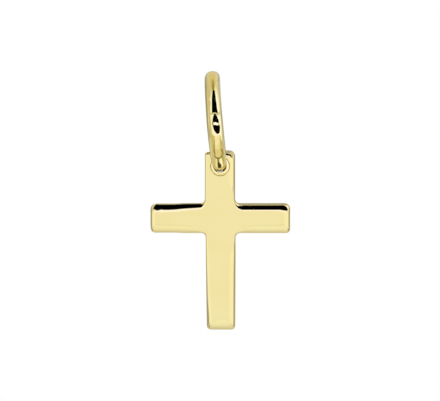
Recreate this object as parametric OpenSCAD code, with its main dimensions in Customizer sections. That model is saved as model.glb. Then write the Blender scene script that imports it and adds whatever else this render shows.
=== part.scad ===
// Plain Latin cross pendant on a round wire ring.
// The origin is the inside top of the ring, where a chain carries it. +Z is up and the front faces -Y.

/* [Cross] */
// Width across the two side arms
cross_w = 9; // [6:0.1:14]
// Length from the middle of the side arms up to the top end
top_len = 4.3; // [3.6:0.1:7]
// Length from the middle of the side arms down to the bottom end
bottom_len = 7.15; // [4:0.05:12]
// Width of each arm, seen from the front
arm_w = 1.93; // [1.6:0.01:2.6]
// Thickness from front to back
plate_t = 1.1; // [0.8:0.05:1.6]
// Radius of the soft roll along every edge of the faces
edge_roll = 0.4; // [0.15:0.01:0.5]
// Radius of the outer corners, seen from the front
corner_r = 0.28; // [0.1:0.01:0.5]
// Radius of the four inner corners, seen from the front
inner_r = 0.35; // [0.15:0.01:0.8]

/* [Hole] */
// Solid metal left between the hole and the top end
top_wall = 0.29; // [0.2:0.01:0.8]
// Play of the wire in the hole, across the wire
hole_play = 0.24; // [0.1:0.01:0.5]
// Radius of the polished rim of the hole
rim_roll = 0.12; // [0.05:0.01:0.2]

/* [Ring] */
// Inside diameter of the ring
ring_inside_d = 4.5; // [3.5:0.1:8]
// Diameter of the round wire
wire_d = 1; // [0.6:0.05:1.3]
// Lean of the ring to the left, in degrees
ring_lean = 4.8; // [0:0.1:12]

/* [Hanging] */
// Clearance between the wire and the upper side of the hole that hangs on it
hang_gap = 0.033; // [0.02:0.001:0.1]

/* [Hidden] */
$fn = 96;

ring_gold = "#E2D08A";
cross_gold = "#EFE3A4";
cut_over = 1;

// A roll never takes more than this share of the thickness, so that a flat stays between the rolls.
roll_share = 0.42;
roll = min(edge_roll, roll_share * plate_t);

ring_in_r = ring_inside_d / 2;
wire_r = wire_d / 2;
ring_mid_r = ring_in_r + wire_r;
// Unit vector from the top of the leaning ring to its bottom
ring_down = [sin(ring_lean), 0, -cos(ring_lean)];
ring_centre = ring_in_r * ring_down;
low_wire = (ring_in_r + ring_mid_r) * ring_down;

// The ring curves up on its way through the plate, so the hole needs room above the lowest wire.
bore_half = plate_t / 2 - rim_roll;
wire_rise = ring_in_r - sqrt(ring_in_r * ring_in_r - bore_half * bore_half);
hole_r = (wire_d + wire_rise + hole_play) / 2;
hole_centre = low_wire + [0, 0, wire_r + wire_rise + hang_gap - hole_r];
hole_to_arms = top_len - top_wall - hole_r;

// Closed ring of round wire, in the plane seen edge-on from the front
module hanging_ring() {
    color(ring_gold)
        translate(ring_centre)
            rotate([0, 90 - ring_lean, 0])
                rotate_extrude()
                    translate([ring_mid_r, 0])
                        circle(r = wire_r);
}

// Rectangle with round corners, centred
module round_rect(w, h, r) {
    square([w - 2 * r, h], center = true);
    square([w, h - 2 * r], center = true);
    for (x = [-1, 1], y = [-1, 1])
        translate([x * (w / 2 - r), y * (h / 2 - r)])
            circle(r = r);
}

// Bar of width w along X and height h along Z, with every edge of its two faces rolled
module rolled_bar(w, h) {
    intersection() {
        rotate([90, 0, 0])
            linear_extrude(plate_t, center = true)
                round_rect(w, h, corner_r);
        rotate([90, 0, 90])
            linear_extrude(w, center = true)
                round_rect(plate_t, h, roll);
        linear_extrude(h, center = true)
            round_rect(w, plate_t, roll);
    }
}

// Metal in one inner corner of the crossing: the same roll, turned about the corner's own centre
module inner_corner() {
    reach = inner_r + roll;
    translate([arm_w / 2 + inner_r, 0, arm_w / 2 + inner_r])
        rotate([90, 180, 0])
            rotate_extrude(angle = 90)
                intersection() {
                    translate([inner_r + reach, 0])
                        round_rect(2 * reach, plate_t, roll);
                    translate([inner_r, -plate_t])
                        square([reach, 2 * plate_t]);
                }
}

// Round hole with a rolled rim on both faces, about the Y axis
module hole() {
    rotate([90, 0, 0])
        rotate_extrude() {
            translate([0, -plate_t / 2 - cut_over])
                square([hole_r, plate_t + 2 * cut_over]);
            for (side = [0, 1])
                mirror([0, side])
                    translate([0, plate_t / 2 - rim_roll])
                        difference() {
                            square([hole_r + rim_roll, rim_roll + cut_over]);
                            translate([hole_r + rim_roll, 0])
                                circle(r = rim_roll);
                        }
        }
}

// The whole cross, hung by its hole on the lowest wire of the ring
module cross() {
    color(cross_gold)
        translate(hole_centre)
            difference() {
                translate([0, 0, -hole_to_arms]) {
                    rolled_bar(cross_w, arm_w);
                    translate([0, 0, (top_len - bottom_len) / 2])
                        rolled_bar(arm_w, top_len + bottom_len);
                    for (x = [0, 1], z = [0, 1])
                        mirror([x, 0, 0])
                            mirror([0, 0, z])
                                inner_corner();
                }
                hole();
            }
}

hanging_ring();
cross();
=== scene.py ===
"""Looks of a plain gold cross that hangs on a round wire ring.

Forms are worked out in millimetres, in the frame's axes: +Z up, and the front faces -Y.
"""

import math

import bpy
import numpy as np
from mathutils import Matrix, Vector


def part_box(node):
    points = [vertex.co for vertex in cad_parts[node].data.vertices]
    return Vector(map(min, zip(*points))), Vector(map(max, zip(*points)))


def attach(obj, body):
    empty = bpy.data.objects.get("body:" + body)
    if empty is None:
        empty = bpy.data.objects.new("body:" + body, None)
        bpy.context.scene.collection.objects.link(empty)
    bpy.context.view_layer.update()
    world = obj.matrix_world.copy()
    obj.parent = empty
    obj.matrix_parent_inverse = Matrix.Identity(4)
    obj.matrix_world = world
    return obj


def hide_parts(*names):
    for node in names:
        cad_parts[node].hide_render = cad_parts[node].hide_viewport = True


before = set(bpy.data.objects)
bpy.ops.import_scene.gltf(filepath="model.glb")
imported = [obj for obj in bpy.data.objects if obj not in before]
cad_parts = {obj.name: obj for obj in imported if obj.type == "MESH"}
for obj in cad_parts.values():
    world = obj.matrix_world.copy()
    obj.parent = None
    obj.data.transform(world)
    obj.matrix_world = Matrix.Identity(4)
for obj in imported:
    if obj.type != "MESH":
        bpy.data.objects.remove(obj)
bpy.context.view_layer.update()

MM = 0.001
TINY = 1e-9
X_AXIS, Y_AXIS, Z_AXIS = 0, 1, 2

# Cross, as the part's source has it
PLATE_T = 1.10
ARM_W = 1.93
CROSS_W = 9.0
TOP_LEN = 4.30
BOTTOM_LEN = 7.15
TOP_WALL = 0.29
HOLE_R = 0.64

# Ring, close to the part's source: its circle, its lean, and the middle of the wire at its lowest place
RING_MID_R = 2.795
RING_LEAN = math.radians(5.0)
RING_LOW = (0.397, 0.0, -5.05)

# Hand finish that the plain solids leave out. A span is the stretch over which something changes: in mm
# from the middle of the arms, in shares of the ring's radius, or in radians round the wire.

# Outline: the upright stands a little to the left over the arms, and to the right below them, where it
# tapers. Its top end is raised, and the inner corners are filled.
SIDE_HALF = 0.970
SIDE_SHIFT_UP = -0.010
SIDE_SHIFT_DOWN = 0.034
SIDE_SHIFT_SPAN = (-0.8, 0.8)
LEFT_DRIFT = 0.078
RIGHT_DRIFT = 0.035
DRIFT_POWER = 1.3
TOP_RAISED = 0.05
INNER_R = 0.28

# Outline: corners of the ends, rounder at the top right of the upright and at the tops of the arms
END_CORNER = 0.30
END_CORNER_MORE = 0.14
END_CORNER_SPAN_X = (-0.4, 0.4)
END_CORNER_SPAN_Z = (0.0, 1.0)
ARM_CORNER = 0.32
ARM_CORNER_MORE = 0.12
ARM_CORNER_SPAN = (-0.3, 0.3)

# Outline: both arms are a little shorter, the left one more so, most of all low down, and it is slimmer
ARM_SHORT = 0.012
LEFT_ARM_SHORT = 0.018
LEFT_ARM_SHORT_LOW = 0.022
LEFT_ARM_SHORT_SPAN_X = (0.0, 1.0)
LEFT_ARM_SHORT_SPAN_Z = (0.1, 0.9)
LEFT_ARM_SLIM = 0.030
LEFT_ARM_SLIM_SPAN = (2.2, 3.0)

# Hole: smaller at the rim, lower, narrower at the back, where it goes up and left a little
HOLE_R_SEEN = 0.575
HOLE_DROP = 0.046
HOLE_TAPER = 0.070
HOLE_RISE = 0.075
HOLE_LEAN = 0.013
HOLE_BACK_SPAN = (-0.2, 0.5)
RIM_ROLL = 0.09

# Rolled edges: reach over the face, by the way the edge faces
ROLL_INNER = 0.12
ROLL_LEFT_HIGH = 0.14
ROLL_LEFT_LOW = 0.36
ROLL_RIGHT = 0.45
ROLL_LEFT_ARM = 0.69
ROLL_RIGHT_ARM = 0.55
ROLL_ARM_LOW = 0.53
ROLL_ARM_END = 0.34
ROLL_END_TOP = 0.30
ROLL_END_LOW = 0.80
ROLL_END_LOW_LEFT_LESS = 0.25

# Rolled edges: depth, or as a slope the depth for each mm of reach, and how round they are. The way that
# the edge faces is measured over a small step.
DEPTH = 0.42
DEPTH_RIGHT_LOW = 0.47
DEPTH_END_TOP = 0.55
DEPTH_END_LOW = 0.54
SLOPE_LEFT = 1.24
SLOPE_LEFT_LOW = 1.85
SLOPE_LEFT_ARM = 0.45
SLOPE_RIGHT_ARM = 0.84
ROUND_POWER = 2.0
FLATTER_TOP = 0.4
FACING_STEP = 0.02

# Rolled edges: where they change
TOP_END_SPAN = (2.0, 2.6)
LOW_END_SPAN = (4.0, 5.0)
UPRIGHT_SPAN = (1.2, 2.6)
LEFT_SIDE_SPAN = (0.5, 7.5)
LEFT_STEEP_SPAN = (5.0, 6.6)
RIGHT_DEEP_SPAN = (2.2, 3.6)
ARM_END_SPAN = (1.8, 2.2)
UNDER_ARM_SPAN = (1.1, 2.2)
RIGHT_ARM_SPAN = (0.62, 1.45)
MIDDLE_SPAN = (-0.5, 0.5)
LOW_LEFT_SPAN = (-0.2, 0.7)

# Rolled top of the left arm: it widens outwards from a share of its width, and narrows at the end
LEFT_ARM_SPAN = (0.80, 1.12)
LEFT_ARM_ROOT = 1.1
LEFT_ARM_RUN = 2.75
LEFT_ARM_SHARE = 0.55
LEFT_ARM_POWER = 0.75
LEFT_END_LESS = 0.15
LEFT_END_SPAN = (3.2, 4.3)
LEFT_TIP_LESS = 0.08
LEFT_TIP_SPAN = (3.85, 4.12)

# Ring: its circle is bowed and twisted, and its wire swells towards the top and the bottom, but is
# slimmer at the lowest place
RING_BOW = 0.080
RING_TWIST = 0.040
WIRE_R = 0.472
WIRE_SWELL = 0.016
WIRE_SWELL_TURN = 0.26
WIRE_LOW_SLIM = 0.020

# Ring: its wire is fuller on the right at the top and at the bottom, and all round in the lower half
# between them, and worn behind the place where the cross hangs
WIRE_TOP_FULL = 0.028
WIRE_TOP_SPAN = (0.75, 0.95)
WIRE_TOP_SIDE_FROM = (0.2, 0.7)
WIRE_TOP_SIDE_TO = (0.9, 1.75)
WIRE_MID_FULL = 0.014
WIRE_MID_SPAN = (-0.35, 0.1)
WIRE_MID_LOW_SPAN = (-0.95, -0.8)
WIRE_LOW_FULL = 0.018
WIRE_LOW_SPAN = (0.85, 0.97)
WIRE_WORN = 0.050
WIRE_WORN_FRONT_SPAN = (0.02, 0.13)
WIRE_WORN_BACK_SPAN = (-0.42, -0.30)

# Mesh fineness
NET_STEP = 0.04
NET_MARGIN = 0.12
RING_TURNS = 360
RING_SIDES = 80

# Polish of the gold: noise in cells a metre, the levels of it that are used, the depth of the waves in mm
# and the height of the marks as a share of it
MOTTLE_SCALE = 420.0
MOTTLE_COLOUR_LEVELS = (0.3, 0.7)
MOTTLE_POLISH_LEVELS = (0.35, 0.75)
MARK_SCALE = 5200.0
MARK_STRETCH = (3.0, 3.0, 0.25)
MARK_TILT = (0.0, 0.35, 0.0)
MARK_ROUGHNESS = 0.6
MARK_LEVELS = (0.55, 0.8)
MARK_HEIGHT = 0.004
WAVE_SCALE = 260.0
WAVE_DEPTH = 0.02
WAVE_STRENGTH = 0.25
POLISH_BEST = 0.03
POLISH_WORST = 0.05
MARK_DULL = 0.04
CROSS_GOLD = (0.895, 0.785, 0.390, 1)
CROSS_GOLD_WORN = (0.885, 0.767, 0.369, 1)
RING_GOLD = (0.875, 0.78, 0.365, 1)
RING_GOLD_WORN = (0.86, 0.76, 0.345, 1)

# Floor
FLOOR_HALF = 140
FLOOR_Z = -24
FLOOR_COLOUR = (0.86, 0.86, 0.85, 1)
FLOOR_ROUGH = 0.9

# Camera: the picture is 28.2 mm wide at the cross
FRAME_W = 28.204
CAMERA_FAR = 500.0
AIM = (0.406, 0.0, -7.29)

cross_lo, cross_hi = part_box("cross")
ARMS_X = (cross_lo.x + cross_hi.x) / 2 / MM
ARMS_Z = cross_lo.z / MM + BOTTOM_LEN
HOLE_Z = TOP_LEN - TOP_WALL - HOLE_R - HOLE_DROP


def smooth_step(span, value):
    """Rises softly from 0 to 1 over a span."""
    low, high = span
    t = np.clip((value - low) / (high - low), 0, 1)
    return t * t * (3 - 2 * t)


def blend(a, b, share):
    return a + (b - a) * share


def smooth_max(a, b, soft):
    """Larger of two distances, with the ridge where they meet rounded."""
    h = np.maximum(soft - np.abs(a - b), 0) / soft
    return np.maximum(a, b) + h * h * soft / 4


def round_union(a, b, r):
    """Union of two distances, with a round inner corner of radius r."""
    return np.maximum(r, np.minimum(a, b)) - np.hypot(np.maximum(r - a, 0), np.maximum(r - b, 0))


def round_common(a, b, r, power=ROUND_POWER):
    """Intersection of two distances, with a round edge of radius r; a power under 2 makes it flatter."""
    u, v = np.maximum(r + a, 0), np.maximum(r + b, 0)
    return np.minimum(-r, np.maximum(a, b)) + (u ** power + v ** power) ** (1 / power)


def cross_outline(x, z):
    """Distance to the outline of the cross, seen from the front; negative inside."""
    shift = blend(SIDE_SHIFT_UP, SIDE_SHIFT_DOWN, smooth_step(SIDE_SHIFT_SPAN, -z))
    drift = np.clip(-z / BOTTOM_LEN, 0, 1) ** DRIFT_POWER
    left = shift - SIDE_HALF + LEFT_DRIFT * drift - x
    right = x - shift - SIDE_HALF + RIGHT_DRIFT * drift
    top_right = smooth_step(END_CORNER_SPAN_X, x) * smooth_step(END_CORNER_SPAN_Z, z)
    ends = np.maximum(z - TOP_LEN - TOP_RAISED, -z - BOTTOM_LEN)
    upright = smooth_max(np.maximum(left, right), ends, END_CORNER + END_CORNER_MORE * top_right)
    slim = LEFT_ARM_SLIM * smooth_step(LEFT_ARM_SLIM_SPAN, -x)
    short = LEFT_ARM_SHORT + LEFT_ARM_SHORT_LOW * smooth_step(LEFT_ARM_SHORT_SPAN_Z, -z)
    reach = CROSS_W / 2 - ARM_SHORT - short * smooth_step(LEFT_ARM_SHORT_SPAN_X, -x)
    corner = ARM_CORNER + ARM_CORNER_MORE * smooth_step(ARM_CORNER_SPAN, z)
    beam = smooth_max(np.abs(z) - ARM_W / 2 + slim, np.abs(x) - reach, corner)
    return round_union(upright, beam, INNER_R)


def facings(x, z):
    """How much the outline faces left, right, up and down near a place; together they make 1."""
    nx = cross_outline(x + FACING_STEP, z) - cross_outline(x - FACING_STEP, z)
    nz = cross_outline(x, z + FACING_STEP) - cross_outline(x, z - FACING_STEP)
    length = np.maximum(np.hypot(nx, nz), TINY)
    nx, nz = nx / length, nz / length
    return np.minimum(nx, 0) ** 2, np.maximum(nx, 0) ** 2, np.maximum(nz, 0) ** 2, np.minimum(nz, 0) ** 2


def left_roll(x, z):
    """Reach and depth of the roll on the upright's left side and the left arm's end."""
    roll = blend(ROLL_LEFT_HIGH, ROLL_LEFT_LOW, smooth_step(LEFT_SIDE_SPAN, -z))
    roll = blend(roll, ROLL_ARM_END, smooth_step(ARM_END_SPAN, np.abs(x)))
    return roll, blend(SLOPE_LEFT, SLOPE_LEFT_LOW, smooth_step(LEFT_STEEP_SPAN, -z)) * roll


def right_roll(x, z):
    """Reach and depth of the roll on the upright's right side and the right arm's end."""
    out = np.maximum(smooth_step(UPRIGHT_SPAN, np.abs(z)), smooth_step(ARM_END_SPAN, np.abs(x)))
    depth = blend(DEPTH, DEPTH_RIGHT_LOW, smooth_step(RIGHT_DEEP_SPAN, -z))
    return blend(ROLL_INNER, ROLL_RIGHT, out), depth


def top_roll(x, high):
    """Reach and depth of the roll on the tops of the arms and, where high is 1, of the upright."""
    widened = np.clip((-x - LEFT_ARM_ROOT) / LEFT_ARM_RUN, 0, 1) ** LEFT_ARM_POWER
    left = smooth_step(LEFT_ARM_SPAN, -x) * blend(LEFT_ARM_SHARE, 1, widened)
    left = left * (1 - LEFT_END_LESS * smooth_step(LEFT_END_SPAN, -x))
    left = left * (1 - LEFT_TIP_LESS * smooth_step(LEFT_TIP_SPAN, -x))
    right = smooth_step(RIGHT_ARM_SPAN, x)
    roll = ROLL_INNER + (ROLL_LEFT_ARM - ROLL_INNER) * left + (ROLL_RIGHT_ARM - ROLL_INNER) * right
    slope = blend(SLOPE_LEFT_ARM, SLOPE_RIGHT_ARM, smooth_step(MIDDLE_SPAN, x))
    return blend(roll, ROLL_END_TOP, high), blend(slope * roll, DEPTH_END_TOP, high)


def low_roll(x, low):
    """Reach and depth of the roll on the undersides of the arms and, where low is 1, of the upright."""
    roll = blend(ROLL_INNER, ROLL_ARM_LOW, smooth_step(UNDER_ARM_SPAN, np.abs(x)))
    end_roll = ROLL_END_LOW - ROLL_END_LOW_LEFT_LESS * smooth_step(LOW_LEFT_SPAN, -x)
    return blend(roll, end_roll, low), blend(DEPTH, DEPTH_END_LOW, low)


def roll_sizes(x, z):
    """Reach, depth and power of the rolled edge at a place, by the way the outline faces there."""
    left, right, up, down = facings(x, z)
    high = smooth_step(TOP_END_SPAN, z)
    roll_left, depth_left = left_roll(x, z)
    roll_right, depth_right = right_roll(x, z)
    roll_top, depth_top = top_roll(x, high)
    roll_low, depth_low = low_roll(x, smooth_step(LOW_END_SPAN, -z))
    roll = roll_left * left + roll_right * right + roll_top * up + roll_low * down
    depth = depth_left * left + depth_right * right + depth_top * up + depth_low * down
    return roll, depth, ROUND_POWER - FLATTER_TOP * up * high


def cross_field(p):
    """Negative inside the cross, zero on its surface."""
    x, y, z = p[..., 0] - ARMS_X, p[..., 1], p[..., 2] - ARMS_Z
    roll, depth, power = roll_sizes(x, z)
    face = np.abs(y) - PLATE_T / 2
    body = depth * round_common(cross_outline(x, z) / roll, face / depth, 1.0, power)
    back = smooth_step(HOLE_BACK_SPAN, y)
    hole_r = HOLE_R_SEEN - HOLE_TAPER * back
    hole = hole_r - np.hypot(x + HOLE_LEAN * back, z - HOLE_Z - HOLE_RISE * back)
    return round_common(body, hole, RIM_ROLL)


def gradient(field, p, eps=1e-4):
    g = np.empty_like(p)
    for k in range(3):
        d = np.zeros(3)
        d[k] = eps
        g[:, k] = (field(p + d) - field(p - d)) / (2 * eps)
    return g


def surface_net(field, low, high, step):
    """Quads over the zero surface of a field: one vertex in each grid cell that the surface crosses."""
    axes = [np.arange(a, b + step, step) for a, b in zip(low, high)]
    grid = np.stack(np.meshgrid(*axes, indexing="ij"), -1)
    value = field(grid)
    inside = value < 0
    cells = tuple(n - 1 for n in inside.shape)
    total = np.zeros(cells + (3,))
    count = np.zeros(cells, int)
    for k in range(3):
        # Where the grid edges along axis k cross the surface, as a point on the edge
        a = tuple(slice(0, -1) if j == k else slice(None) for j in range(3))
        b = tuple(slice(1, None) if j == k else slice(None) for j in range(3))
        cut = inside[a] != inside[b]
        share = np.where(cut, value[a] / np.where(cut, value[a] - value[b], 1), 0)
        point = grid[a].copy()
        point[..., k] += share * step
        point[~cut] = 0
        # Each such edge belongs to the four cells round it
        i, j = [m for m in range(3) if m != k]
        for di in (0, 1):
            for dj in (0, 1):
                pick = [slice(None)] * 3
                pick[i] = slice(di, di + cells[i])
                pick[j] = slice(dj, dj + cells[j])
                total += point[tuple(pick)]
                count += cut[tuple(pick)]
    used = count > 0
    index = np.full(cells, -1)
    index[used] = np.arange(used.sum())
    vertices = total[used] / count[used][:, None]
    # One quad for each crossed edge, between the vertices of its four cells
    quads = []
    for k in range(3):
        a = tuple(slice(0, -1) if j == k else slice(1, -1) for j in range(3))
        b = tuple(slice(1, None) if j == k else slice(1, -1) for j in range(3))
        cut = inside[a] != inside[b]
        outward = inside[a][cut]
        i, j = (k + 1) % 3, (k + 2) % 3
        at = np.argwhere(cut)
        at[:, i] += 1
        at[:, j] += 1
        corner = []
        for di, dj in ((1, 1), (0, 1), (0, 0), (1, 0)):
            q = at.copy()
            q[:, i] -= di
            q[:, j] -= dj
            corner.append(index[tuple(q.T)])
        quad = np.stack(corner, -1)
        quads.append(np.where(outward[:, None], quad, quad[:, ::-1]))
    return vertices, np.concatenate(quads)


def settle(field, p, rounds=4):
    """Moves points onto the zero surface."""
    for _ in range(rounds):
        g = gradient(field, p)
        p = p - g * (field(p) / np.maximum((g * g).sum(1), TINY))[:, None]
    return p


def unit(v):
    return v / np.linalg.norm(v, axis=-1, keepdims=True)


def add_object(name, data):
    thing = bpy.data.objects.new(name, data)
    bpy.context.scene.collection.objects.link(thing)
    return thing


def add_material(name):
    material = bpy.data.materials.new(name)
    material.use_nodes = True
    return material


def make_piece(name, vertices, quads, normals, material, body, node):
    mesh = bpy.data.meshes.new(name)
    mesh.from_pydata((vertices * MM).tolist(), [], quads.tolist())
    mesh.shade_smooth()
    mesh.normals_split_custom_set_from_vertices(normals.tolist())
    mesh.materials.append(material)
    piece = add_object(name, mesh)
    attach(piece, body)
    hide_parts(node)


def make_cross(material):
    low = np.array([cross_lo.x, cross_lo.y, cross_lo.z]) / MM - NET_MARGIN
    high = np.array([cross_hi.x, cross_hi.y, cross_hi.z]) / MM + NET_MARGIN
    vertices, quads = surface_net(cross_field, low, high, NET_STEP)
    vertices = settle(cross_field, vertices)
    normals = unit(gradient(cross_field, vertices))
    make_piece("polished_cross", vertices, quads, normals, material, "cross", "cross")


def wire_radius(turn, side):
    """Radius of the ring's wire, by the turn round the ring and the side of the wire."""
    height, ahead = np.sin(turn), np.cos(turn)
    swell = WIRE_SWELL * np.sin(turn - WIRE_SWELL_TURN) ** 2
    slim = WIRE_LOW_SLIM * np.maximum(-height, 0) ** 6
    right_side = smooth_step(WIRE_TOP_SIDE_FROM, side) * (1 - smooth_step(WIRE_TOP_SIDE_TO, side))
    top = smooth_step(WIRE_TOP_SPAN, height) * right_side
    middle = smooth_step(WIRE_MID_SPAN, -height) * smooth_step(WIRE_MID_LOW_SPAN, height)
    low = smooth_step(WIRE_LOW_SPAN, -height) * np.maximum(np.sin(side), 0) ** 4
    behind = smooth_step(WIRE_WORN_FRONT_SPAN, -ahead) * smooth_step(WIRE_WORN_BACK_SPAN, ahead)
    worn = behind * np.maximum(-height, 0)
    full = WIRE_TOP_FULL * top + WIRE_MID_FULL * middle + WIRE_LOW_FULL * low
    return WIRE_R + swell - slim + full - WIRE_WORN * worn


def make_ring(material):
    """Round wire along a circle in the leaning plane, slightly bowed, twisted and uneven."""
    turn = np.linspace(0, 2 * math.pi, RING_TURNS, endpoint=False)[:, None, None]
    side = np.linspace(0, 2 * math.pi, RING_SIDES, endpoint=False)[None, :, None]
    up = np.array([-math.sin(RING_LEAN), 0, math.cos(RING_LEAN)])
    across = np.array([math.cos(RING_LEAN), 0, math.sin(RING_LEAN)])
    front = np.array([0.0, -1.0, 0.0])
    radial = np.cos(turn) * front + np.sin(turn) * up
    bow = (RING_BOW * np.cos(turn) ** 2 + RING_TWIST * np.cos(turn)) * -across
    normal = np.cos(side) * radial + np.sin(side) * across
    points = np.array(RING_LOW) + RING_MID_R * (up + radial) + bow + wire_radius(turn, side) * normal
    a = np.arange(RING_TURNS)[:, None]
    b = np.arange(RING_SIDES)[None, :]
    a1, b1 = (a + 1) % RING_TURNS, (b + 1) % RING_SIDES
    corners = [a * RING_SIDES + b, a * RING_SIDES + b1, a1 * RING_SIDES + b1, a1 * RING_SIDES + b]
    quads = np.stack(corners, -1).reshape(-1, 4)
    vertices, normals = points.reshape(-1, 3), normal.reshape(-1, 3)
    make_piece("wire_ring", vertices, quads, normals, material, "ring", "hanging_ring")


class Nodes:
    """Short names for the nodes of one tree."""

    def __init__(self, tree):
        self.tree = tree
        tree.nodes.clear()

    def add(self, kind, **settings):
        node = self.tree.nodes.new(kind)
        for key, value in settings.items():
            setattr(node, key, value)
        return node

    def put(self, socket, value):
        if isinstance(value, bpy.types.NodeSocket):
            self.tree.links.new(value, socket)
        else:
            socket.default_value = value

    def math(self, operation, *values):
        node = self.add("ShaderNodeMath", operation=operation)
        for socket, value in zip(node.inputs, values):
            self.put(socket, value)
        return node.outputs[0]

    def ramp(self, value, low, high, start=0.0, end=1.0, kind="SMOOTHSTEP"):
        node = self.add("ShaderNodeMapRange", interpolation_type=kind)
        for socket, v in zip(node.inputs, (value, low, high, start, end)):
            self.put(socket, v)
        return node.outputs[0]

    def fade(self, value, low, high):
        return self.ramp(value, low, high, 1.0, 0.0)

    def mix(self, share, a, b):
        """Mix of two colours, whose sockets are numbers 6 and 7 of the node, and 2 among its outputs."""
        node = self.add("ShaderNodeMix", data_type="RGBA")
        for number, value in ((0, share), (6, a), (7, b)):
            self.put(node.inputs[number], value)
        return node.outputs[2]

    def noise(self, vector, scale, detail=2.0, roughness=0.5):
        node = self.add("ShaderNodeTexNoise")
        self.put(node.inputs["Vector"], vector)
        node.inputs["Scale"].default_value = scale
        node.inputs["Detail"].default_value = detail
        node.inputs["Roughness"].default_value = roughness
        return node.outputs["Fac"]


WARM_RED = 0.42


def light(level, blue=1.0):
    """A light of one level; blue under 1 makes it beige or olive, over 1 cool."""
    return (level * (1 + WARM_RED * max(1 - blue, 0)), level, level * blue, 1.0)


def gold_material(name, colour, worn):
    """Polished gold: uneven polish, fine wiping marks and a very slight waviness."""
    material = add_material(name)
    n = Nodes(material.node_tree)
    place = n.add("ShaderNodeTexCoord").outputs["Object"]
    stretch = n.add("ShaderNodeMapping")
    n.put(stretch.inputs["Vector"], place)
    stretch.inputs["Scale"].default_value = MARK_STRETCH
    stretch.inputs["Rotation"].default_value = MARK_TILT
    mottle = n.noise(place, MOTTLE_SCALE, detail=3.0)
    marks = n.noise(stretch.outputs[0], MARK_SCALE, detail=3.0, roughness=MARK_ROUGHNESS)
    waves = n.noise(place, WAVE_SCALE, detail=1.0)
    shader = n.add("ShaderNodeBsdfPrincipled")
    shader.inputs["Metallic"].default_value = 1.0
    n.put(shader.inputs["Base Color"], n.mix(n.ramp(mottle, *MOTTLE_COLOUR_LEVELS), colour, worn))
    polish = n.ramp(mottle, *MOTTLE_POLISH_LEVELS, POLISH_BEST, POLISH_WORST)
    wiped = n.ramp(marks, *MARK_LEVELS, 0.0, MARK_DULL)
    n.put(shader.inputs["Roughness"], n.math("ADD", polish, wiped))
    bump = n.add("ShaderNodeBump")
    bump.inputs["Strength"].default_value = WAVE_STRENGTH
    bump.inputs["Distance"].default_value = WAVE_DEPTH * MM
    n.put(bump.inputs["Height"], n.math("ADD", waves, n.math("MULTIPLY", marks, MARK_HEIGHT)))
    n.put(shader.inputs["Normal"], bump.outputs[0])
    out = n.add("ShaderNodeOutputMaterial")
    n.put(out.inputs["Surface"], shader.outputs[0])
    return material


# Studio round the pendant, as seen from it. lift turns from the front (0) over the top (90) to the back
# (180), and side from -90 on the left to 90 on the right, all in degrees. Each patch is (lift from and to,
# side from and to at its first lift, side from and to at its last lift, softness, light), and a later
# patch covers an earlier one.
PATCHES = [
    ((25, 230), (-99, 99), (-99, 99), 10, light(0.70, 0.85)),
    ((-70, -12), (-16, 40), (-16, 40), 3, light(1.03)),
    ((-300, -78), (-99, 99), (-99, 99), 47, light(0.69, 0.95)),
    ((90, 140), (26, 99), (26, 99), 8, light(0.82, 0.9)),
    ((-90, 150), (56, 99), (56, 99), 5, light(0.98, 1.05)),
    ((10, 90), (-99, -44), (-99, -40), 5, light(0.70, 0.85)),
    ((46, 86), (-42, 0), (-32, 0), 6, light(1.05, 1.1)),
    ((46, 90), (10, 60), (12, 60), 6, light(1.20, 1.3)),
    ((-30, 30), (-46, -18), (-46, -18), 5, light(1.08, 1.05)),
    ((-12, 12), (18, 48), (18, 48), 5, light(1.06, 1.05)),
    ((-12, -3), (-16, 16), (-16, 16), 1.2, light(0.92)),
    ((8, 20), (-46, 50), (-46, 50), 3, light(1.2, 1.45)),
    ((20, 49), (-3, 66), (-62, 62), 2, light(0.0)),
    ((44, 83), (-52, 62), (-6, 6), 3, light(0.0)),
    ((83, 140), (-14, 30), (-20, 30), 5, light(0.45, 0.95)),
    ((140, 230), (-99, 99), (-99, 99), 10, light(0.52, 0.95)),
    ((140, 230), (-72, -20), (-72, -20), 8, light(0.38, 0.9)),
    ((-230, -160), (-72, -20), (-72, -20), 6, light(0.38, 0.9)),
    ((140, 230), (48, 86), (48, 86), 6, light(0.38, 0.9)),
    ((-230, -160), (48, 86), (48, 86), 6, light(0.38, 0.9)),
    ((-140, -66), (42, 99), (42, 99), 4, light(0.38, 0.9)),
    ((-128, -92), (-99, -34), (-99, -34), 4, light(0.28, 0.8)),
]

# Bright strip at eye level, for the edges of the upright: where it ends up and down, and where it starts
# beside the pendant and ends behind it, in shares of the distance
STRIP_HEIGHT = (0.12, 0.25)
STRIP_SIDE = (0.3, 0.4)
STRIP_BACK = (0.0, 0.1)
STRIP_LIGHT = light(1.07)


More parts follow.
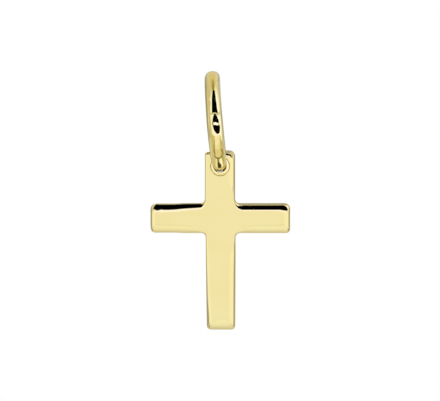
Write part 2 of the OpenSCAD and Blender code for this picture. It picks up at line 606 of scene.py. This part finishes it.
def make_world():
    world = bpy.data.worlds.new("studio")
    bpy.context.scene.world = world
    world.use_nodes = True
    n = Nodes(world.node_tree)
    split = n.add("ShaderNodeSeparateXYZ")
    n.put(split.inputs[0], n.add("ShaderNodeTexCoord").outputs["Generated"])
    x, y, z = split.outputs
    lift = n.math("DEGREES", n.math("ARCTAN2", z, n.math("MULTIPLY", y, -1.0)))
    side = n.math("DEGREES", n.math("ARCSINE", x))
    glow = light(1.0)
    for (low, high), (l0, r0), (l1, r1), soft, colour in PATCHES:
        rise, fall = n.ramp(lift, low - soft, low + soft), n.fade(lift, high - soft, high + soft)
        t = n.ramp(lift, low, high, kind="LINEAR")
        left = n.math("MULTIPLY_ADD", t, l1 - l0, l0)
        right = n.math("MULTIPLY_ADD", t, r1 - r0, r0)
        from_left = n.ramp(n.math("SUBTRACT", side, left), -soft, soft)
        to_right = n.fade(n.math("SUBTRACT", side, right), -soft, soft)
        share = n.math("MULTIPLY", n.math("MULTIPLY", rise, fall), n.math("MULTIPLY", from_left, to_right))
        glow = n.mix(share, glow, colour)
    level = n.fade(n.math("ABSOLUTE", z), *STRIP_HEIGHT)
    beside = n.math("MULTIPLY", n.ramp(n.math("ABSOLUTE", x), *STRIP_SIDE), n.fade(y, *STRIP_BACK))
    glow = n.mix(n.math("MULTIPLY", level, beside), glow, STRIP_LIGHT)
    # The backdrop and the light on the floor are plain white
    path = n.add("ShaderNodeLightPath").outputs
    plain = n.math("MAXIMUM", path["Is Camera Ray"], path["Is Diffuse Ray"])
    background = n.add("ShaderNodeBackground")
    n.put(background.inputs["Color"], n.mix(plain, glow, light(1.0)))
    out = n.add("ShaderNodeOutputWorld")
    n.put(out.inputs["Surface"], background.outputs[0])


def make_floor():
    """Pale floor under the hanging pendant. It keeps out of the reflections."""
    mesh = bpy.data.meshes.new("floor")
    half, z = FLOOR_HALF * MM, FLOOR_Z * MM
    corners = [(-half, -half, z), (half, -half, z), (half, half, z), (-half, half, z)]
    mesh.from_pydata(corners, [], [(0, 1, 2, 3)])
    floor = add_object("floor", mesh)
    material = add_material("floor_paper")
    shader = material.node_tree.nodes["Principled BSDF"]
    shader.inputs["Base Color"].default_value = FLOOR_COLOUR
    shader.inputs["Roughness"].default_value = FLOOR_ROUGH
    mesh.materials.append(material)
    floor.visible_glossy = False


# Small boards close to the ring, each as (corners in the plane, light) and a little nearer the ring than
# the one before. They show only from the ring's side and only to short reflections, so the cross doesn't
# pick them up.
BLACK = light(0.0)
WHITE = light(1.3, 1.65)
BEIGE = light(0.63, 0.70)

# In front of the ring, corners in x and z
FRONT_Y = -4.7
FRONT_REACH = 3.9
FRONT_BOARDS = [
    ([(-1.9, -4.2), (9.0, -4.2), (9.0, 3.2), (-2.3, 3.2), (-2.3, -0.6)], light(1.15, 1.25)),
    ([(-0.80, -1.20), (0.2, -1.25), (1.4, -1.04), (2.8, -0.7), (2.8, 3.2), (-0.80, 3.2)], BLACK),
    ([(-2.4, -1.38), (-0.3, -1.42), (1.3, -1.08), (5.2, -0.70), (5.2, -0.35), (1.3, -0.93), (-0.3, -1.16),
      (-2.4, -1.12)], light(0.68, 0.95)),
    ([(-0.6, -2.75), (5.0, -2.75), (5.0, -2.1), (-0.6, -2.1)], WHITE),
    ([(-0.68, -2.41), (-0.68, -2.16), (-0.47, -1.9), (-0.22, -1.60), (0.13, -1.36), (0.64, -1.16),
      (1.51, -1.25), (2.58, -1.44), (5.0, -1.46), (9.0, -1.3), (9.0, -2.42), (1.56, -2.29), (0.63, -2.27),
      (-0.06, -2.36)], BLACK),
    ([(-0.66, -2.65), (0.3, -2.61), (1.82, -2.61), (9.0, -2.4), (9.0, -3.1), (6.27, -3.54), (4.99, -4.07),
      (2.3, -3.89), (0.9, -3.73), (0.42, -3.60), (-0.08, -3.38), (-0.42, -3.19), (-0.66, -2.97)], BLACK),
    ([(-1.1, -2.30), (-0.30, -2.25), (-0.30, -2.72), (-1.1, -2.80)], light(0.40, 1.2)),
]

# Level boards below the ring, corners in x and y
LOW_Z = -6.5
LOW_REACH = 9.0
LOW_BOARDS = [
    ([(-12.0, -10.0), (-0.8, -10.0), (-0.8, 4.0), (-12.0, 4.0)], BEIGE),
    ([(1.6, -10.0), (14.0, -10.0), (14.0, 4.0), (1.6, 4.0)], BEIGE),
    ([(-12.0, -4.0), (-6.9, -3.0), (-4.6, -2.4), (-3.4, -1.3), (-3.0, 0.4), (-4.2, 4.0), (-12.0, 4.0)],
     light(0.80, 0.98)),
    ([(-1.1, -10.0), (-1.1, -2.6), (1.6, -2.6), (2.9, -3.1), (3.3, -4.0), (5.0, -5.0), (8.5, -7.0),
      (9.5, -10.0)], light(1.02, 0.92)),
    ([(-1.1, -4.9), (-1.1, -2.6), (1.6, -2.6), (2.9, -3.1), (3.3, -4.0), (4.6, -4.9)], light(0.93, 0.88)),
    ([(-1.1, -3.9), (-1.1, -2.2), (1.6, -2.2), (2.9, -3.0), (3.1, -3.9)], light(0.78, 0.75)),
    ([(-1.7, -6.2), (-1.1, -6.2), (-1.05, -3.6), (-0.5, -2.75), (-0.9, -2.3), (-1.9, -2.3), (-1.95, -4.5)],
     light(0.30, 0.40)),
    ([(2.2, -2.4), (3.2, -2.9), (4.6, -2.4), (6.2, -0.6), (5.6, 1.0), (4.4, 0.0), (3.2, -1.2), (2.3, -1.9)],
     light(0.32, 0.42)),
    ([(7.4, -3.4), (9.5, -4.3), (14.0, -1.0), (11.0, 2.0)], light(0.95, 0.85)),
]

# Level boards just under the hole, corners in x and y
SILL_Z = -5.75
SILL_REACH = 3.0
SILL_BOARDS = [
    ([(-1.3, -2.6), (2.6, -2.6), (2.6, -0.57), (-1.3, -0.57)], light(0.66, 0.75)),
    ([(-0.3, -2.6), (1.3, -2.6), (1.3, -2.35), (-0.3, -2.45)], light(0.80, 0.85)),
    ([(-0.30, -2.2), (0.05, -2.2), (0.05, -0.95), (-0.2, -0.95)], light(1.0, 0.95)),
    ([(0.72, -2.15), (1.3, -2.05), (1.35, -1.5), (1.05, -0.85), (0.82, -0.85), (0.88, -1.35), (0.68, -1.75)],
     light(1.22, 1.1)),
    ([(1.4, -2.3), (2.6, -2.3), (2.6, -0.6), (1.35, -0.6), (1.5, -1.3)], light(0.48, 0.60)),
    ([(-0.9, -2.45), (0.35, -2.42), (1.4, -2.3), (2.2, -1.75), (2.1, -1.6), (1.3, -2.15), (0.35, -2.2),
      (-0.9, -2.2)], light(0.24, 0.60)),
    ([(0.17, -2.25), (0.48, -2.25), (0.46, -1.7), (0.2, -1.7)], light(0.22, 0.50)),
    ([(0.2, -1.85), (0.5, -1.8), (0.72, -1.45), (0.78, -1.2), (0.62, -0.98), (0.24, -1.0), (0.18, -1.4)],
     light(0.06, 0.40)),
]

# Level boards over the ring, seen in its top, corners in x and y
HIGH_Z = 2.6
HIGH_REACH = 6.0
HIGH_BOARDS = [
    ([(-6.0, -4.7), (2.5, -4.7), (2.5, 6.0), (-6.0, 6.0)], light(0.70, 0.80)),
    ([(-6.0, -4.7), (-2.8, -4.7), (-2.1, 6.0), (-6.0, 6.0)], light(0.64, 0.92)),
    ([(-0.9, -4.7), (1.1, -4.7), (0.9, 6.0), (-0.9, 6.0)], light(0.68, 0.66)),
    ([(1.3, -4.7), (2.5, -4.7), (2.5, 6.0), (1.0, 6.0)], light(0.78, 0.84)),
    ([(1.3, -4.7), (2.5, -4.7), (2.5, -1.3), (1.4, -1.8)], light(0.98, 0.94)),
    ([(1.5, -4.7), (2.5, -4.7), (2.5, -2.7), (1.5, -2.9)], light(1.12, 1.25)),
    ([(-6.0, -6.8), (-1.0, -6.8), (-1.0, -4.4), (-6.0, -4.4)], light(1.00, 1.05)),
    ([(-2.2, -4.7), (0.4, -4.7), (0.3, -3.0), (-1.6, -3.2)], light(0.79, 0.95)),
    ([(-2.4, -4.7), (0.4, -4.7), (0.2, -3.8), (-1.8, -3.8)], light(1.00, 1.12)),
    ([(-0.75, -2.2), (-0.45, -1.0), (0.3, -0.6), (0.95, -1.0), (1.2, -2.2), (1.1, -3.2), (-0.4, -3.2)],
     light(0.55, 0.58)),
    ([(-0.3, -2.2), (-0.1, -1.3), (0.35, -1.0), (0.8, -1.3), (0.95, -2.2), (0.9, -3.2), (-0.15, -3.2)],
     light(0.42, 0.52)),
    ([(0.1, -2.2), (0.4, -1.5), (0.75, -2.2), (0.8, -3.2), (0.0, -3.2)], light(0.27, 0.45)),
    ([(0.4, -3.10), (0.8, -2.93), (1.25, -2.84), (1.5, -2.84), (1.7, -2.94), (1.8, -3.12), (1.95, -3.27),
      (2.3, -3.37), (2.5, -3.40), (2.5, -4.7), (-0.65, -4.7), (-0.35, -4.1), (-0.1, -3.6), (0.05, -3.3)],
     BLACK),
]

# Upright boards on the ring's right, corners in y and z
RIGHT_X = 2.4
RIGHT_REACH = 4.4
RIGHT_BOARDS = [
    ([(-4.7, -4.0), (3.0, -4.0), (3.0, 2.6), (-4.7, 2.6)], light(0.63, 0.95)),
    ([(-4.7, -4.0), (-0.5, -4.0), (-0.5, 2.6), (-4.7, 2.6)], light(0.76, 1.00)),
    ([(-1.4, 1.7), (2.4, 1.9), (2.4, 2.6), (-1.4, 2.6)], light(0.84, 0.88)),
    ([(-4.7, -4.0), (-1.1, -4.0), (-1.1, 2.6), (-4.7, 2.6)], light(0.93, 1.06)),
    ([(-4.7, -4.0), (-1.7, -4.0), (-1.7, 2.6), (-4.7, 2.6)], light(1.08, 1.15)),
    ([(-4.7, -4.0), (-2.5, -4.0), (-2.5, 2.0), (-4.7, 2.4)], light(1.28, 1.42)),
    ([(-4.7, -1.10), (-4.1, -1.02), (-3.65, -0.93), (-3.75, -0.75), (-3.98, -0.15), (-3.78, 0.5),
      (-3.82, 1.2), (-3.71, 1.62), (-3.55, 2.1), (-3.5, 2.7), (-4.7, 2.7)], BLACK),
    ([(-4.7, -1.32), (-1.0, -1.45), (-1.0, -1.20), (-3.6, -1.06), (-4.7, -1.12)], light(0.76, 1.15)),
    ([(-4.7, -1.38), (-4.3, -1.62), (-3.62, -1.95), (-3.70, -2.22), (-4.7, -2.26)], BLACK),
    ([(-4.4, -2.52), (-3.2, -2.50), (-3.2, -2.26), (-4.4, -2.26)], light(0.78, 1.3)),
    ([(-4.7, -2.54), (-3.2, -2.48), (-3.1, -2.66), (-3.3, -3.0), (-3.62, -3.34), (-4.15, -3.66),
      (-4.7, -3.80)], BLACK),
    ([(-4.1, -3.85), (-3.75, -3.70), (-3.6, -4.0), (-4.2, -4.0)], light(0.68, 0.85)),
    ([(-2.3, -4.0), (-2.1, -3.3), (-1.9, -2.95), (-1.5, -2.78), (3.0, -2.6), (3.0, -4.0)], light(0.66, 0.85)),
    ([(-3.5, -4.0), (-3.4, -3.6), (-2.85, -3.5), (-2.75, -4.0)], light(0.80, 0.90)),
]

# All of these, as (name, axis across the boards, place of the first, step to the next, reach, boards).
# They face the way that the step goes, towards the ring.
BOARD_SETS = [
    ("front_board", Y_AXIS, FRONT_Y, 0.02, FRONT_REACH, FRONT_BOARDS),
    ("low_board", Z_AXIS, LOW_Z, 0.01, LOW_REACH, LOW_BOARDS),
    ("sill_board", Z_AXIS, SILL_Z, 0.005, SILL_REACH, SILL_BOARDS),
    ("high_board", Z_AXIS, HIGH_Z, -0.01, HIGH_REACH, HIGH_BOARDS),
    ("right_board", X_AXIS, RIGHT_X, -0.01, RIGHT_REACH, RIGHT_BOARDS),
]

# A leaning board on the ring's left, corners in x, y and z
SIDE_BOARD = [(-3.25, -6.8, -7.0), (-3.25, -6.8, 3.0), (-3.0, -3.3, 3.0), (-3.0, -3.3, -7.0)]
SIDE_LIGHT = light(0.66, 0.8)
SIDE_REACH = 4.3

# A round board behind the hole, corners in x and z
BACK_R = 0.53
BACK_X = ARMS_X - HOLE_LEAN
BACK_Z = ARMS_Z + HOLE_Z + HOLE_RISE
BACK_SIDES = 24
BACK_TURNS = [k * 2 * math.pi / BACK_SIDES for k in range(BACK_SIDES)]
BACK_BOARD = [(BACK_X + BACK_R * math.cos(t), BACK_Z + BACK_R * math.sin(t)) for t in BACK_TURNS]

# Single boards at the lower edge of the hole, behind it, in it, and over the top end of the cross, as
# (name, axis across the board, place on it, way that it faces, reach, corners, light)
TOP_Z = -3.95
TOP_REACH = 1.7
SINGLE_BOARDS = [
    # Painted shade: a black sheet over the hole's lower edge stands in for the shade in the gap between the
    # wire and the hole, seen only in the wire's reflection
    ("hole_edge_painted_shade_board", Y_AXIS, -0.575, -1, 1.3, [(0.05, -5.80), (0.66, -5.80), (0.66, -5.62), (0.05, -5.62)],
     BLACK),
    ("back_board", Y_AXIS, 0.60, -1, 1.3, BACK_BOARD, light(1.24, 0.98)),
    ("under_board", Z_AXIS, -5.60, 1, 1.2, [(0.1, -0.56), (0.74, -0.56), (0.74, 0.3), (0.1, 0.3)],
     light(0.55, 1.1)),
    ("top_board", Z_AXIS, TOP_Z, -1, TOP_REACH,
     [(0.5, -0.62), (1.2, -0.60), (1.35, -0.64), (1.62, -0.80), (1.8, -0.95), (2.3, -1.15), (2.3, -1.45),
      (2.0, -1.5), (1.6, -1.35), (1.4, -1.4), (1.0, -1.3), (0.5, -1.2)], BLACK),
    ("top_left_board", Z_AXIS, TOP_Z, -1, TOP_REACH,
     [(-0.42, -0.24), (-0.08, -0.21), (-0.08, -0.48), (-0.30, -0.45), (-0.42, -0.36)], light(0.2, 0.6)),
    ("top_back_board", Z_AXIS, TOP_Z, -1, TOP_REACH,
     [(-1.0, -0.34), (-0.45, -0.29), (-0.42, -0.24), (-0.08, -0.21), (-0.08, 0.5), (-1.0, 0.5)],
     light(1.2, 1.5)),
]

# Boards fade out over the last part of their reach, and right at the surface that reflects them. A
# reflection may pass through many faded boards.
FADE_SHARE = 0.92
TOUCH = 0.08
TOUCH_SHARE = 0.7
MOST_LAYERS = 60


def make_board(name, corners, colour, reach):
    mesh = bpy.data.meshes.new(name)
    mesh.from_pydata([(x * MM, y * MM, z * MM) for x, y, z in corners], [], [tuple(range(len(corners)))])
    board = add_object(name, mesh)
    material = add_material(name)
    n = Nodes(material.node_tree)
    glow = n.add("ShaderNodeEmission")
    glow.inputs["Color"].default_value = colour
    length = n.add("ShaderNodeLightPath").outputs["Ray Length"]
    far = n.ramp(length, FADE_SHARE * reach * MM, reach * MM)
    near = n.fade(length, TOUCH_SHARE * TOUCH * MM, TOUCH * MM)
    away = n.add("ShaderNodeNewGeometry").outputs["Backfacing"]
    mix = n.add("ShaderNodeMixShader")
    n.put(mix.inputs[0], n.math("MAXIMUM", n.math("MAXIMUM", far, near), away))
    n.put(mix.inputs[1], glow.outputs[0])
    n.put(mix.inputs[2], n.add("ShaderNodeBsdfTransparent").outputs[0])
    out = n.add("ShaderNodeOutputMaterial")
    n.put(out.inputs["Surface"], mix.outputs[0])
    mesh.materials.append(material)
    board.visible_camera = board.visible_diffuse = board.visible_shadow = False


def in_plane(corners, axis, place):
    """Corners in the plane across an axis, at a place on it, as points in space."""
    return [corner[:axis] + (place,) + corner[axis:] for corner in corners]


def facing(corners, axis, way):
    """The corners in the order that turns the front along an axis, or against it where way is under 0."""
    a, b = [k for k in range(3) if k != axis]
    area = sum(p[a] * q[b] - q[a] * p[b] for p, q in zip(corners, corners[1:] + corners[:1]))
    along = (area > 0) == (axis != Y_AXIS)
    return corners if along == (way > 0) else corners[::-1]


def make_boards():
    for name, axis, first, step, reach, boards in BOARD_SETS:
        for number, (corners, colour) in enumerate(boards):
            place = in_plane(corners, axis, first + step * number)
            make_board(f"{name}_{number}", facing(place, axis, step), colour, reach)
    make_board("side_board", facing(SIDE_BOARD, X_AXIS, 1), SIDE_LIGHT, SIDE_REACH)
    for name, axis, place, way, reach, corners, colour in SINGLE_BOARDS:
        make_board(name, facing(in_plane(corners, axis, place), axis, way), colour, reach)
    bpy.context.scene.cycles.transparent_max_bounces = MOST_LAYERS


def make_camera():
    data = bpy.data.cameras.new("camera")
    data.sensor_width = 36.0
    data.lens = data.sensor_width * CAMERA_FAR / FRAME_W
    data.clip_start, data.clip_end = 0.01, 10.0
    camera = add_object("camera", data)
    camera.location = (AIM[0] * MM, (AIM[1] - CAMERA_FAR) * MM, AIM[2] * MM)
    camera.rotation_euler = (math.pi / 2, 0, 0)
    bpy.context.scene.camera = camera


make_camera()
make_world()
make_floor()
make_boards()
bpy.context.scene.view_settings.view_transform = "Standard"

make_cross(gold_material("cross_gold", CROSS_GOLD, CROSS_GOLD_WORN))
make_ring(gold_material("ring_gold", RING_GOLD, RING_GOLD_WORN))
